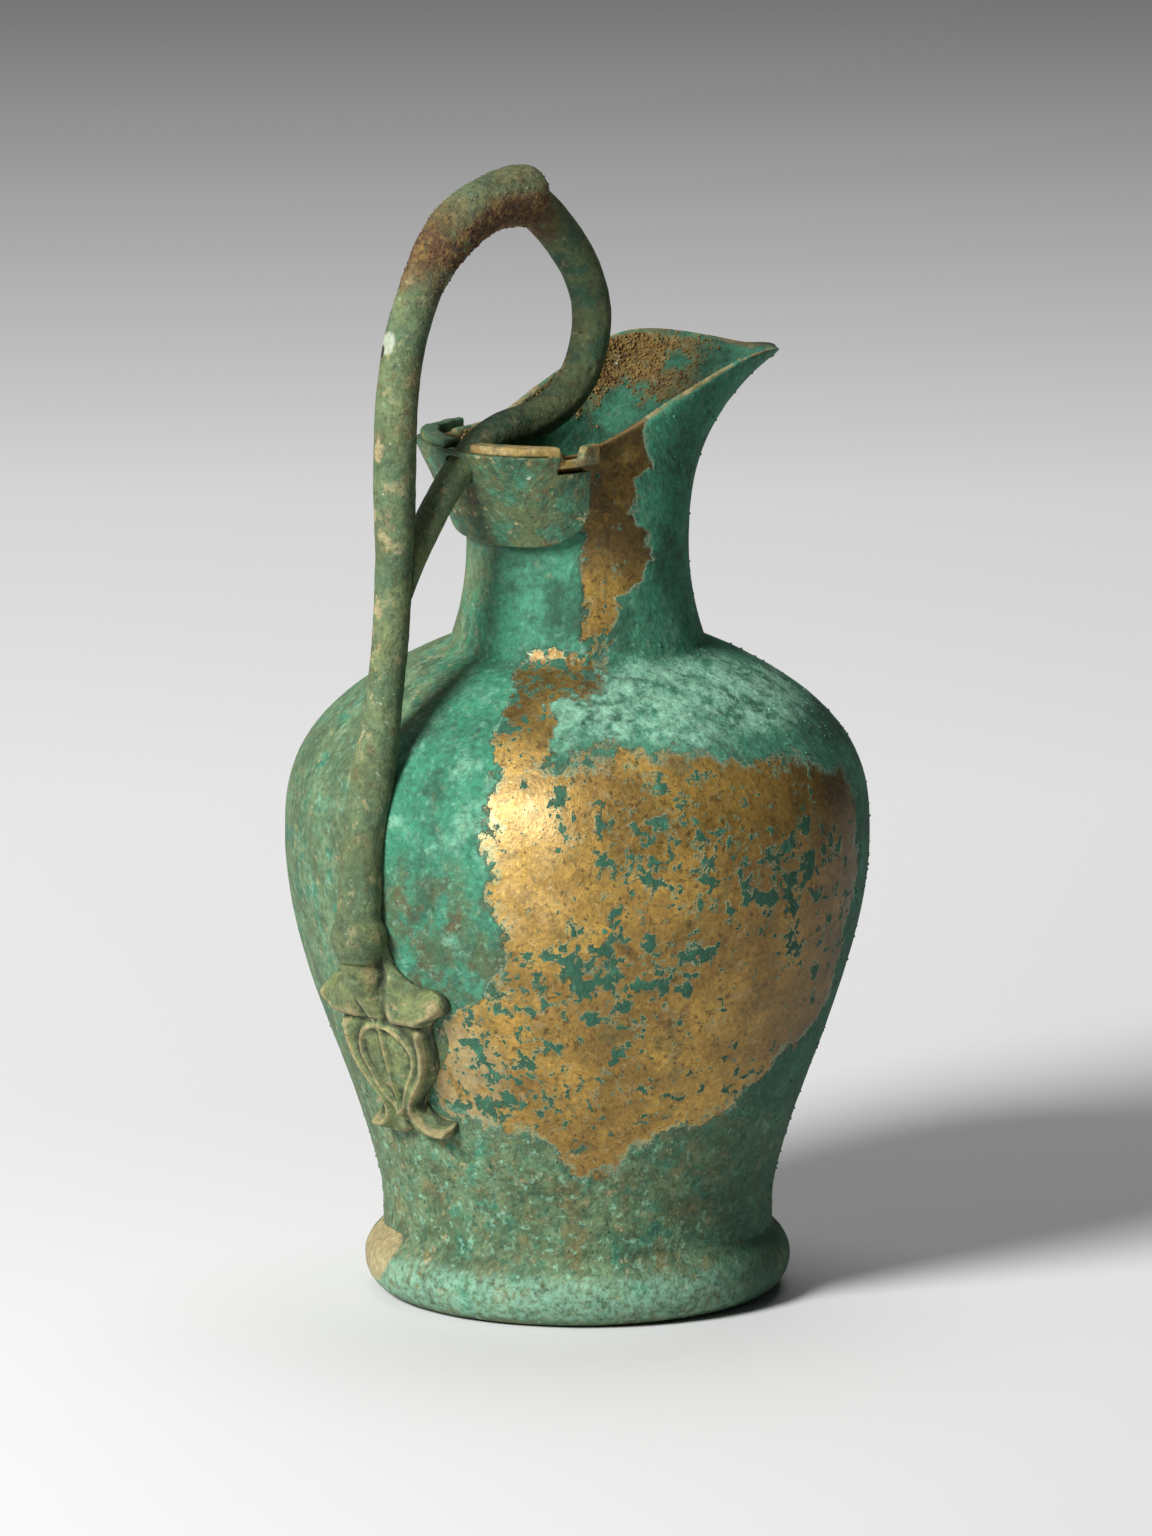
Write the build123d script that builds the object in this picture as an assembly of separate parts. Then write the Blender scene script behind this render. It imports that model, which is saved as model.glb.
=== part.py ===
from build123d import *
import os
from functools import cache
from math import cos, hypot, radians, sin, sqrt

# Bronze oinochoe. The beak points along +X and the handle stands at -X. The origin is the middle of the
# foot's resting face. Lengths are millimetres, angles degrees.

# Sheet, solder and fits
wall = 1.6
solder = 0.4
fit_gap = 0.1

# Foot ring: a turned ring with a fat rounded edge, a hollow sweep up to the wall, and a rebate for the floor
foot_flange = 5.6
foot_edge_radius = 8.2
foot_sweep_radius = 5.0
foot_lip = 0.4
ledge_height = 8.0
ledge_width = 4.4
floor_thickness = 2.0

# Vessel of revolution: outside radii, and the rise from each to the next
waist_radius = 45.6
waist_height = 16.0
belly_radius = 70.0
flank_rise = 95.0
flank_fullness = 0.86
shoulder_rise = 47.5
shoulder_fullness = 2.85
neck_root_radius = 30.6
neck_rise = 25.5
neck_taper = 2.1
neck_radius = 26.4
wall_stations = 34

# Mouth: how far the rim reaches past the neck in each direction from the beak, and how high it stands
beak_flare = 40.8
beak_rise = 37.4
beak_lateness = 2.4
beak_keel = 3.4
nib_angle = 6.0
nib_flare = 36.6
nib_rise = 38.4
cheek_angle = 29.0
cheek_flare = 19.6
cheek_rise = 42.2
cheek_lateness = 1.9
front_angle = 48.0
front_flare = 3.8
front_rise = 37.2
front_lateness = 1.8
pinch_angle = 80.0
pinch_depth = 4.6
pinch_rise = 31.4
pinch_lateness = 1.4
back_pinch_angle = 111.0
back_pinch_depth = 4.4
back_pinch_rise = 27.6
back_pinch_lateness = 1.3
lobe_angle = 144.5
lobe_flare = 9.4
rear_flare = 13.6
rear_rise = 26.0
rear_lateness = 1.05
mouth_margin = 3.0
mouth_stations = 7
back_points = slice(3, -2)

# Collar plate round the back of the neck, heights measured from the top of the neck
collar_thickness = 2.2
collar_bottom_rise = 2.0
collar_top_rise = 26.0
collar_front = -19.0
collar_corner_radius = 11.0

# Rim arms: strips above the collar plate, with a step down, a notch and a lug at the rim
arm_height = 2.6
arm_step = -28.6
arm_step_width = 2.4
arm_drop = 3.2
arm_slot = 1.3
lug_back = -21.6
lug_front = -16.6
lug_height = 6.2

# Leaf plaque under the handle: half widths, drops from its top edge and rises from its lower edge
leaf_thickness = 2.4
leaf_drop = 20.0
leaf_neck_half = 4.9
leaf_shoulder_half = 8.0
leaf_shoulder_drop = 5.6
horn_reach = 19.0
horn_drop = 8.6
horn_under_half = 14.4
horn_under_drop = 13.6
flank_half = 11.0
flank_drop = 28.0
leaf_waist_half = 5.6
leaf_waist_rise = 9.3
curl_reach = 12.6
curl_rise = 4.2
leaf_length = 44.8
leaf_notch = 1.8
rib_half = 3.4
rib_relief = 2.0
rib_start_drop = 10.0
petal_half = 2.4
petal_spread = 7.6
petal_middle_spread = 6.1
petal_end_spread = 1.9
petal_relief = 1.2
horn_relief = 2.6
curl_relief = 2.2

# Handle stem: a rod from the plaque to the slanted lip at the top of the loop
stem_standoff = 3.4
bulge_radius = 6.9
bulge_rise = 5.6
stem_low_radius = 5.3
stem_low_rise = 14.0
stem_waist_radius = 4.4
stem_waist_x = -62.9
stem_waist_drop = 17.0
stem_radius = 5.1
stem_high_x = -61.4
stem_high_rise = 19.0
stem_shoulder_x = -57.9
stem_shoulder_rise = 54.0
stem_turn_x = -44.0
stem_turn_rise = 77.4
lip_radius = 6.6
lip_x = -17.4
lip_rise = 84.0
lip_slant = -8.0

# Handle loop: the thinner rod from the lip round into the mouth, over the rim and back to the stem
loop_root_radius = 5.2
elbow_radius = 4.2
loop_radius = 4.7
loop_top_x = -3.4
loop_top_rise = 71.2
loop_front_x = 4.8
loop_front_rise = 53.0
loop_low_x = -0.6
loop_low_rise = 37.8
loop_foot_x = -15.0
loop_foot_rise = 30.2
loop_back_x = -27.8
loop_back_rise = 28.4
branch_x = -41.6
branch_rise = 19.8
branch_radius = 3.7
branch_end_radius = 2.8
branch_join = 0.385
tenon_radius = 3.0
tenon_length = 7.0
rod_stations = 26

# Heights that follow
belly_height = waist_height + flank_rise
neck_root_height = belly_height + shoulder_rise
neck_height = neck_root_height + neck_rise
leaf_top = belly_height - leaf_drop
leaf_waist_drop = leaf_length - leaf_waist_rise
curl_drop = leaf_length - curl_rise
collar_bottom = neck_height + collar_bottom_rise
collar_top = neck_height + collar_top_rise
stem_foot_x = -(belly_radius + stem_standoff)


def body_radius(z):
    """Outside radius of the wall between the foot and the top of the neck."""
    if z <= waist_height:
        return waist_radius
    if z <= belly_height:
        t = (z - waist_height) / flank_rise
        return waist_radius + (belly_radius - waist_radius) * (t * t * (3 - 2 * t))**flank_fullness
    if z <= neck_root_height:
        t = (z - belly_height) / shoulder_rise
        return belly_radius - (belly_radius - neck_root_radius) * t**shoulder_fullness
    t = max(neck_height - z, 0) / neck_rise
    return neck_radius + (neck_root_radius - neck_radius) * t**neck_taper


def wall_line(offset):
    """Profile of the wall, moved outwards by an offset along its normal."""
    half_step = 1.0
    points = []
    for i in range(wall_stations + 1):
        z = ledge_height + (neck_height - ledge_height) * i / wall_stations
        slope = (body_radius(z + half_step) - body_radius(z - half_step)) / (2 * half_step)
        if i in (0, wall_stations):
            slope = 0
        length = hypot(1, slope)
        points.append((body_radius(z) + offset / length, 0, z - offset * slope / length))
    return Spline(*points)


def wall_shell(inner_offset, outer_offset):
    """Solid of revolution between two offsets of the wall's profile."""
    inner = wall_line(inner_offset)
    outer = wall_line(outer_offset)
    profile = inner + outer + Line(inner @ 0, outer @ 0) + Line(inner @ 1, outer @ 1)
    return revolve(make_face(profile), Axis.Z)


@cache
def body_block(offset):
    """The whole room that the belly and neck take up, grown by an offset."""
    side = wall_line(offset)
    low, high = side @ 0, side @ 1
    profile = side + Polyline(high, (0, 0, high.Z), (0, 0, low.Z), low)
    return revolve(make_face(profile), Axis.Z)


def mouth_directions():
    """One side of the mouth: direction, reach, rim height and how late the wall flares."""
    rows = [
        (0, beak_flare, beak_rise, beak_lateness),
        (nib_angle, nib_flare, nib_rise, beak_lateness),
        (cheek_angle, cheek_flare, cheek_rise, cheek_lateness),
        (front_angle, front_flare, front_rise, front_lateness),
        (pinch_angle, -pinch_depth, pinch_rise, pinch_lateness),
        (back_pinch_angle, -back_pinch_depth, back_pinch_rise, back_pinch_lateness),
        (lobe_angle, lobe_flare, rear_rise, rear_lateness),
        (180, rear_flare, rear_rise, rear_lateness),
    ]
    return [(angle, neck_radius + flare, neck_height + rise, late) for angle, flare, rise, late in rows]


def mouth_points(z):
    """Outside of the mouth at one height, anticlockwise from the beak."""
    left = []
    for angle, reach, rim, late in mouth_directions():
        t = (z - neck_height) / (rim - neck_height)
        radius = neck_radius + (reach - neck_radius) * t**late
        left.append(Vector(radius * cos(radians(angle)), radius * sin(radians(angle)), z))
    right = [Vector(p.X, -p.Y, z) for p in left[-2:0:-1]]
    return left + right


def grown_points(z, offset):
    """Points of the mouth at one height, moved outwards by an offset along the outline's normal."""
    points = mouth_points(z)
    line = Spline(*points, periodic=True)
    grown = []
    for point in points:
        along = line.tangent_at(point)
        grown.append(point + Vector(along.Y, -along.X, 0) * offset)
    return grown


def mouth_section(z, offset):
    """Closed face across the mouth at one height, grown by an offset. The keel of the beak is thicker."""
    if z == neck_height:
        return Pos(0, 0, z) * Circle(neck_radius + offset)
    grown = grown_points(z, offset)
    if offset < 0:
        keel = wall + (beak_keel - wall) * min((z - neck_height) / beak_rise, 1)
        grown[0] = mouth_points(z)[0] - Vector(keel, 0, 0)
    return make_face(Spline(*grown, periodic=True))


def mouth_heights():
    """Heights of the mouth's sections, from the neck to above the rim."""
    rise = max(rim for _, _, rim, _ in mouth_directions()) + mouth_margin - neck_height
    return [neck_height + rise * i / (mouth_stations - 1) for i in range(mouth_stations)]


def mouth_solid(offset):
    """The mouth as one lofted solid."""
    return loft([mouth_section(z, offset) for z in mouth_heights()])


def back_shell(inner_offset, outer_offset):
    """Layer round the back of the mouth between two offsets of its outside."""
    sections = []
    for z in mouth_heights():
        inner = Spline(*grown_points(z, inner_offset)[back_points])
        outer = Spline(*grown_points(z, outer_offset)[back_points])
        sections.append(make_face([inner, outer, Line(inner @ 0, outer @ 0), Line(inner @ 1, outer @ 1)]))
    return loft(sections)


def side_prism(outline):
    """Solid across the whole jug from an outline in its plane of symmetry."""
    return extrude(make_face(outline), 2 * belly_radius, dir=(0, 1, 0), both=True)


def back_prism(outline):
    """Solid from the axis out through the handle's side, from an outline seen from behind."""
    return extrude(make_face(outline), 2 * belly_radius, dir=(-1, 0, 0))


def above_rim():
    """Space above the rim's curve, as seen from the side. The curve runs on past the beak and the back."""
    rim_points = []
    for angle, reach, rim, _ in reversed(mouth_directions()):
        rim_points.append(Vector(reach * cos(radians(angle)), 0, rim))
    past = Vector(mouth_margin, 0, 0)
    rim_line = Spline(rim_points[0] - past, *rim_points, rim_points[-1] + past)
    start, end = rim_line @ 0, rim_line @ 1
    far = 2 * neck_height
    fence = Polyline(start, (-far, 0, start.Z), (-far, 0, far), (far, 0, far), (far, 0, end.Z), end)
    return side_prism(rim_line + fence)


def rod(line, radii, tilt=0):
    """Round rod along a line, lofted through circles. The last circle may lean forward by a tilt."""
    sections = []
    for i in range(rod_stations + 1):
        u = i / rod_stations
        k = min(int(u * (len(radii) - 1)), len(radii) - 2)
        t = u * (len(radii) - 1) - k
        radius = radii[k] + (radii[k + 1] - radii[k]) * t * t * (3 - 2 * t)
        facing = line % u
        if i == rod_stations:
            facing = facing.rotate(Axis.Y, tilt)
        sections.append(Plane(origin=line @ u, x_dir=(0, 1, 0), z_dir=facing) * Circle(radius))
    return loft(sections)


def stem_line():
    """Middle line of the stem, from the plaque to the lip."""
    return Spline(
        (stem_foot_x, 0, leaf_top),
        (stem_foot_x, 0, leaf_top + stem_low_rise),
        (stem_waist_x, 0, neck_height - stem_waist_drop),
        (stem_high_x, 0, neck_height + stem_high_rise),
        (stem_shoulder_x, 0, neck_height + stem_shoulder_rise),
        (stem_turn_x, 0, neck_height + stem_turn_rise),
        (lip_x, 0, neck_height + lip_rise),
    )


def loop_line():
    """Middle line of the loop, from the lip to the branch's end inside the stem."""
    stem = stem_line()
    return Spline(
        stem @ 1,
        (loop_top_x, 0, neck_height + loop_top_rise),
        (loop_front_x, 0, neck_height + loop_front_rise),
        (loop_low_x, 0, neck_height + loop_low_rise),
        (loop_foot_x, 0, neck_height + loop_foot_rise),
        (loop_back_x, 0, neck_height + loop_back_rise),
        (branch_x, 0, neck_height + branch_rise),
        stem @ branch_join,
    )


@cache
def loop_rod(growth):
    """The loop's rod, grown by an even amount."""
    radii = [loop_root_radius, loop_radius, loop_radius, branch_radius, branch_end_radius]
    return rod(loop_line(), [radius + growth for radius in radii])


@cache
def stem_rod():
    """The stem's rod with its bulge, before it is cut to its seats."""
    radii = [stem_low_radius, stem_low_radius, stem_low_radius, stem_waist_radius, stem_waist_radius,
             stem_radius, stem_radius, stem_radius, lip_radius, lip_radius]
    bulge = Pos(stem_foot_x, 0, leaf_top + bulge_rise) * Sphere(bulge_radius)
    below = Pos(stem_foot_x, 0, leaf_top - bulge_radius) * Box(4 * bulge_radius, 4 * bulge_radius,
                                                                2 * bulge_radius)
    return rod(stem_line(), radii, lip_slant) + bulge - below


def tenon(growth):
    """Peg on the loop's end, which fills a hole in the stem's lip."""
    end = stem_line()
    plane = Plane(origin=end @ 1, z_dir=-(end % 1))
    return extrude(plane * Circle(tenon_radius + growth), tenon_length + growth)


def foot_centres():
    """Middles of the foot's round edge and of the hollow sweep above it, as radius and height."""
    edge_radius = waist_radius + foot_flange - foot_edge_radius
    sweep_radius = waist_radius + solder + foot_lip + foot_sweep_radius
    between = foot_edge_radius + foot_sweep_radius
    rise = sqrt(between**2 - (sweep_radius - edge_radius)**2)
    return Vector(edge_radius, 0, foot_edge_radius), Vector(sweep_radius, 0, foot_edge_radius + rise)


def make_foot_ring():
    seat = waist_radius + solder
    bore = waist_radius - wall - ledge_width
    edge_middle, sweep_middle = foot_centres()
    toward_sweep = (sweep_middle - edge_middle).normalized()
    edge = ThreePointArc(
        (edge_middle.X, 0, 0),
        edge_middle + Vector(foot_edge_radius, 0, 0),
        edge_middle + toward_sweep * foot_edge_radius,
    )
    sweep = TangentArc(edge @ 1, (seat + foot_lip, 0, sweep_middle.Z), tangent=edge % 1)
    rest = Polyline(
        sweep @ 1,
        (seat, 0, sweep_middle.Z),
        (seat, 0, ledge_height),
        (bore, 0, ledge_height),
        (bore, 0, 0),
        edge @ 0,
    )
    return revolve(make_face(edge + sweep + rest), Axis.Z)


def make_foot_solder():
    _, sweep_middle = foot_centres()
    outer = Cylinder(waist_radius + solder, sweep_middle.Z - ledge_height)
    return Pos(0, 0, (sweep_middle.Z + ledge_height) / 2) * outer - body_block(fit_gap / 2)


def make_base_disc():
    radius = waist_radius - wall - fit_gap
    return Pos(0, 0, ledge_height + floor_thickness / 2) * Cylinder(radius, floor_thickness)


def rim_notch():
    """Gap in the rim beside each lug, over the lower strip of the arm."""
    low = collar_top - arm_drop + arm_height
    return side_prism(Polyline(
        (arm_step + arm_step_width, 0, low),
        (lug_back, 0, low),
        (lug_back, 0, low + 2 * lug_height),
        (arm_step + arm_step_width, 0, low + 2 * lug_height),
        close=True,
    ))


def make_vessel_body():
    upper = (mouth_solid(0) - above_rim()) - mouth_solid(-wall)
    upper = upper - rim_notch() - loop_rod(fit_gap)
    return wall_shell(-wall, 0) + upper


def collar_outline():
    """Side outline of the collar plate, with a rounded lower corner and a lowered front edge."""
    far = -3 * neck_radius
    front_top = collar_top - arm_drop - arm_slot
    round_x = collar_front - collar_corner_radius
    round_z = collar_bottom + collar_corner_radius
    diagonal = collar_corner_radius * sin(radians(45))
    lines = Polyline(
        (collar_front, 0, round_z),
        (collar_front, 0, front_top),
        (arm_step - fit_gap, 0, front_top),
        (arm_step - fit_gap, 0, collar_top),
        (far, 0, collar_top),
        (far, 0, collar_bottom),
        (round_x, 0, collar_bottom),
    )
    corner = ThreePointArc(
        (round_x, 0, collar_bottom),
        (round_x + diagonal, 0, round_z - diagonal),
        (collar_front, 0, round_z),
    )
    return lines + corner


def make_collar(inner_offset, outer_offset):
    """A layer of the collar: the plate, or the solder behind it."""
    shell = back_shell(inner_offset, outer_offset) & side_prism(collar_outline())
    return shell - loop_rod(fit_gap)


def arm_outline():
    """Side outline of a rim arm: upper strip, step, lower strip and lug."""
    low = collar_top - arm_drop
    far = -3 * neck_radius
    step_front = arm_step + arm_step_width
    return Polyline(
        (far, 0, collar_top),
        (arm_step, 0, collar_top),
        (arm_step, 0, low),
        (lug_front, 0, low),
        (lug_front, 0, low + lug_height),
        (lug_back, 0, low + lug_height),
        (lug_back, 0, low + arm_height),
        (step_front, 0, low + arm_height),
        (step_front, 0, collar_top + arm_height),
        (far, 0, collar_top + arm_height),
        close=True,
    )


def make_rim_arms():
    """The left and right arm, parted where the loop's rod crosses the rim."""
    band = back_shell(solder, solder + collar_thickness) & side_prism(arm_outline())
    parting = 2 * (branch_radius + solder)
    half = Box(4 * neck_radius, 4 * neck_radius, 2 * neck_height)
    arms = []
    for side in (1, -1):
        room = Pos(-2 * neck_radius, side * (2 * neck_radius + parting / 2), neck_height) * half
        arms.append(band & room)
    return arms


def leaf_z(drop):
    return leaf_top - drop


def mirrored(right):
    """Closed outline from its right half, given from top to bottom as (half width, drop)."""
    return [(0, w, leaf_z(d)) for w, d in right], [(0, -w, leaf_z(d)) for w, d in right]


def leaf_outline():
    """Outline of the plaque from behind: neck, horns, drawn-in flanks and curled tips."""
    horn_top = [(leaf_neck_half, 0), (leaf_shoulder_half, leaf_shoulder_drop), (horn_reach, horn_drop)]
    flank = [(horn_under_half, horn_under_drop), (flank_half, flank_drop), (leaf_waist_half, leaf_waist_drop),
             (curl_reach, curl_drop)]
    foot = [(curl_reach, curl_drop), (curl_reach / 2, leaf_length), (0, leaf_length - leaf_notch)]
    edges = []
    for side in (0, 1):
        edges.append(Spline(*mirrored(horn_top)[side]))
        edges.append(Line(mirrored([(horn_reach, horn_drop)])[side][0], mirrored(flank)[side][0]))
        edges.append(Spline(*mirrored(flank)[side]))
        edges.append(Spline(*mirrored(foot)[side]))
    edges.append(Line(mirrored(horn_top)[0][0], mirrored(horn_top)[1][0]))
    return Wire(edges)


def lens_outline(side, half, start_drop, end_drop):
    """Pointed oval in the middle (side 0), or leaning in from a side (1 or -1)."""
    middle_drop = (start_drop + end_drop) / 2
    middle = side * petal_middle_spread
    start = (0, side * petal_spread, leaf_z(start_drop))
    end = (0, side * petal_end_spread, leaf_z(end_drop))
    right = ThreePointArc(start, (0, middle + half, leaf_z(middle_drop)), end)
    left = ThreePointArc(end, (0, middle - half, leaf_z(middle_drop)), start)
    return Wire([right, left])


def make_leaf_plaque():
    base = leaf_thickness + solder
    outline = back_prism(leaf_outline())
    plaque = body_block(base) & outline
    reliefs = [(0, rib_half, rib_start_drop, leaf_length - leaf_notch, rib_relief)]
    for side in (1, -1):
        reliefs.append((side, petal_half, horn_under_drop, leaf_waist_drop, petal_relief))
    for side, half, start, end, relief in reliefs:
        plaque += body_block(base + relief) & back_prism(lens_outline(side, half, start, end))
    for side in (1, -1):
        horn = Pos(0, side * (horn_reach + leaf_shoulder_half) / 2, leaf_z((horn_drop + horn_under_drop) / 2))
        lump = Box(4 * belly_radius, horn_reach - leaf_shoulder_half, horn_under_drop - leaf_shoulder_drop)
        plaque += body_block(base + horn_relief) & outline & (horn * lump)
        curl = Pos(0, side * curl_reach, leaf_z(curl_drop + curl_relief))
        tip = Box(4 * belly_radius, curl_reach, 2 * curl_relief)
        plaque += body_block(base + curl_relief) & outline & (curl * tip)
    stub_foot = leaf_z(leaf_waist_drop / 2)
    stub_line = Line((stem_foot_x, 0, leaf_top), (-body_radius(stub_foot) - solder, 0, stub_foot))
    stub = loft([
        Plane(origin=stub_line @ 0, z_dir=(0, 0, 1)) * Circle(leaf_neck_half),
        Plane(origin=stub_line @ 1, z_dir=(0, 0, 1)) * Circle(rib_half),
    ])
    return (plaque + stub) - body_block(solder)


def make_leaf_solder():
    layer = body_block(solder - fit_gap / 2) - body_block(fit_gap / 2)
    return layer & back_prism(leaf_outline())


def make_handle_stem():
    return stem_rod() - body_block(solder) - tenon(fit_gap)


def make_handle_loop():
    elbow = Pos(stem_line() @ 1) * Sphere(elbow_radius)
    return loop_rod(0) + elbow - stem_rod() + tenon(0)


arm_left, arm_right = make_rim_arms()
nodes = {
    "vessel_body": make_vessel_body(),
    "foot_ring": make_foot_ring(),
    "foot_solder": make_foot_solder(),
    "base_disc": make_base_disc(),
    "collar_plate": make_collar(solder, solder + collar_thickness),
    "collar_solder": make_collar(fit_gap / 2, solder - fit_gap / 2),
    "rim_arm_left": arm_left,
    "rim_arm_right": arm_right,
    "leaf_plaque": make_leaf_plaque(),
    "leaf_solder": make_leaf_solder(),
    "handle_stem": make_handle_stem(),
    "handle_loop": make_handle_loop(),
}

os.makedirs("parts", exist_ok=True)
for name, shape in nodes.items():
    export_step(shape, f"parts/{name}.step")
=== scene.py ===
import math

import bmesh
import bpy
import numpy as np
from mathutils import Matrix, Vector


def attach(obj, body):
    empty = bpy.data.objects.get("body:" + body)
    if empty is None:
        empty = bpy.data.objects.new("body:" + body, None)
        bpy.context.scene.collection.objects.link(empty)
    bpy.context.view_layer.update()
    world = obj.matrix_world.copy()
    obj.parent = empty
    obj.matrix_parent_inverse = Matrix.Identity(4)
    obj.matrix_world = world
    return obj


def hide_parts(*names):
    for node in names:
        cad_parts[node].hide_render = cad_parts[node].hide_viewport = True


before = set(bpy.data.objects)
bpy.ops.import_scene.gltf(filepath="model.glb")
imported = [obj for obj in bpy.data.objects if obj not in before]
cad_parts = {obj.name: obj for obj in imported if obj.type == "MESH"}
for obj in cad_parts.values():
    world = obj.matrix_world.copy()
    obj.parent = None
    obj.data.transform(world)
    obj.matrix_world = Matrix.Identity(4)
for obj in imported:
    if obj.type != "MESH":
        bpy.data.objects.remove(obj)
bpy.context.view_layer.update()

# Bronze oinochoe: the CAD solids dressed in worn metal, green crusts and earth. Shapes are worked out in
# millimetres and stored in metres, in the frame of the CAD: beak along +X, handle at -X, foot at height 0.
MM = 0.001

# Vessel, with the same sizes as the solids
ledge_height = 8.0
wall = 1.6
waist_radius = 45.6
waist_height = 16.0
belly_radius = 70.0
flank_rise = 95.0
flank_fullness = 0.86
shoulder_rise = 47.5
shoulder_fullness = 2.85
neck_root_radius = 30.6
neck_rise = 25.5
neck_taper = 2.1
neck_radius = 26.4
belly_height = waist_height + flank_rise
neck_root_height = belly_height + shoulder_rise
neck_height = neck_root_height + neck_rise

# Mouth in each direction from the beak: angle, reach past the neck, rise above it, how late the wall flares
mouth_rows = [
    (0, 40.8, 37.4, 2.4),
    (6, 36.6, 38.4, 2.4),
    (29, 19.6, 42.2, 1.9),
    (48, 3.8, 37.2, 1.8),
    (80, -4.6, 31.4, 1.4),
    (111, -4.4, 27.6, 1.3),
    (144.5, 9.4, 26.0, 1.05),
    (180, 13.6, 26.0, 1.05),
]
mouth_margin = 3.0
beak_keel = 3.4
keel_spread = 7.0
rim_thickness = 2.3
lip_radius = rim_thickness / 2
rim_depth = 7.0
notch_back = -26.2
notch_front = -21.6
notch_floor = 209.4
# The wall swells a little where it meets the foot
foot_blend = 0.85
foot_blend_low = 17.0
foot_blend_high = 27.0
# Where the wall slopes it is thicker when measured level, but at most this many times
steepest = 3.0

# Fineness of the vessel's mesh
columns = 480
wall_rows = 84
mouth_rows_outside = 42
lip_rows = 6
inside_rows = 36
# How finely the rim's line is found, and the rise that the search starts from
mouth_levels = 30
rim_samples = 400
rim_rounds = 40
rim_guess = 30.0

# Rim arms: a strip on the rim behind, which steps down into the notch and ends in a lug
arm_outer = 2.6
arm_inner = 0.2
arm_overlap = 2.0
arm_low = 206.8
arm_height = 2.1
arm_step_rise = 3.2
arm_step_back = -28.9
arm_step_front = -26.6
arm_step_width = 1.0
lug_back = -22.4
lug_full = -20.8
lug_front = -16.6
lug_rise = 2.8
arm_parting = 4.1
arm_corner = 0.6
arm_sections = 150
arm_corner_steps = 4
# Stretch of the rim that an arm is cut from, in degrees from the beak
arm_from = 125
arm_to = 180
arm_samples = 400
# Share of each arm's notch that is free of crust
notch_depths = {"left": 0.1, "right": 1.0}

# Leaf plaque: half width and drop from its top edge, in millimetres, for its outline and its raised lines
leaf_top = 91.0
leaf_back = 0.3
leaf_base = 3.3
leaf_edge_round = 2.0
leaf_side = [
    (4.9, -5), (7.0, 2.0), (12.6, 5.4), (17.4, 6.4), (19.6, 8.8), (18.2, 11.8), (14.6, 14.0), (13.2, 17),
    (12.9, 21.5), (11.2, 27.6), (7.0, 33.2), (5.5, 36.6), (8.0, 39.6), (12.8, 40.2),
]
leaf_foot = [(12.8, 40.2), (12.0, 43.0), (6.8, 45.0), (1.8, 44.3), (0, 42.6)]
leaf_rib = [(0, 16.5), (0, 28), (0, 40)]
leaf_petal = [(1.2, 15.6), (5.6, 17.6), (8.0, 22.5), (5.8, 28.2), (2.8, 33.2), (0.6, 37.4)]
leaf_bulge = [(3.6, 20.0), (3.7, 23.5), (2.2, 29.0)]
leaf_sepal = [(0.3, 15.0), (2.4, 11.0), (4.2, 5.0)]
leaf_margin = [(11.4, 16.6), (11.2, 21.2), (9.4, 27.2), (5.4, 32.6), (3.9, 36.8), (6.6, 41.0), (10.8, 41.6)]
leaf_cleft = [(0, 40.6), (0, 41.6), (0, 42.6)]
# Its ridges: line, half width and rise
leaf_ridges = [
    (leaf_petal, 0.8, 1.3),
    (leaf_rib, 0.8, 1.3),
    (leaf_bulge, 2.6, 1.3),
    (leaf_sepal, 0.9, 1.5),
]
margin_half = 1.6
margin_rise = 2.4
cleft_half = 0.7
cleft_depth = 1.6
# Its horns: the drop of their upper and lower edges, and where the tips turn up
horn_top = 0.2
horn_slope = 0.37
horn_bottom = 14.4
horn_tip_lift = 3.2
horn_tip_start = 14
horn_tip = 19
horn_rise = 4.4
# The stem's end on it
stub_rise = 5.8
stub_radius = 4.9
stub_taper = 1.5
stub_waist = 0.9
stub_length = 17.75
stub_fade = 5
# Fineness of its mesh, and how many neighbours tell a ridge from a hollow
leaf_rows = 170
leaf_columns = 56
leaf_line_samples = 160
leaf_ridge_reach = 5

# Corners of a CAD mesh closer than this are one
merge_reach = 0.001

# Places on the wall are an angle in degrees to the right of the camera's side, and a height.
# The great bare patch in front: its lower and upper border by angle, and its left border by height
bare_bottom = [
    (-40, 58), (-34, 52), (-20, 50), (-8, 46), (2, 37), (11, 39), (20, 46), (40, 53), (60, 65), (85, 84),
]
bare_top = [(-24, 138), (-12, 141), (8, 143), (30, 141), (50, 137), (72, 131), (95, 118)]
bare_left = [
    (46, -30), (54, -37), (68, -35), (78, -30), (84, -22),
    (90, -16), (100, -15), (110, -19), (126, -18), (142, -17),
]
bare_right = 72.0
# The bare strip up the neck: its lower end, and its left and right border by height
neck_bare_low = 158
neck_bare_left = [(158, 4), (176, 1), (190, 2), (200, -12)]
neck_bare_right = [
    (160, 15), (172, 22), (181, 44), (187, 41), (193, 31),
    (201, 36), (204, 47), (211, 47), (216, 57), (224, 64),
]
# Further patches: angle and height of the middle, half sizes, and squareness where it isn't an ellipse
bare_patches = [(-14, 147, 8, 8), (-9, 157, 20, 5)]
# Bare patches on the sides that the photo doesn't show
far_bare_patches = [
    (-124, 100, 20, 30),
    (-112, 78, 14, 12),
    (138, 74, 22, 20),
    (116, 92, 12, 14),
    (124, 188, 20, 10),
]
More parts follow.
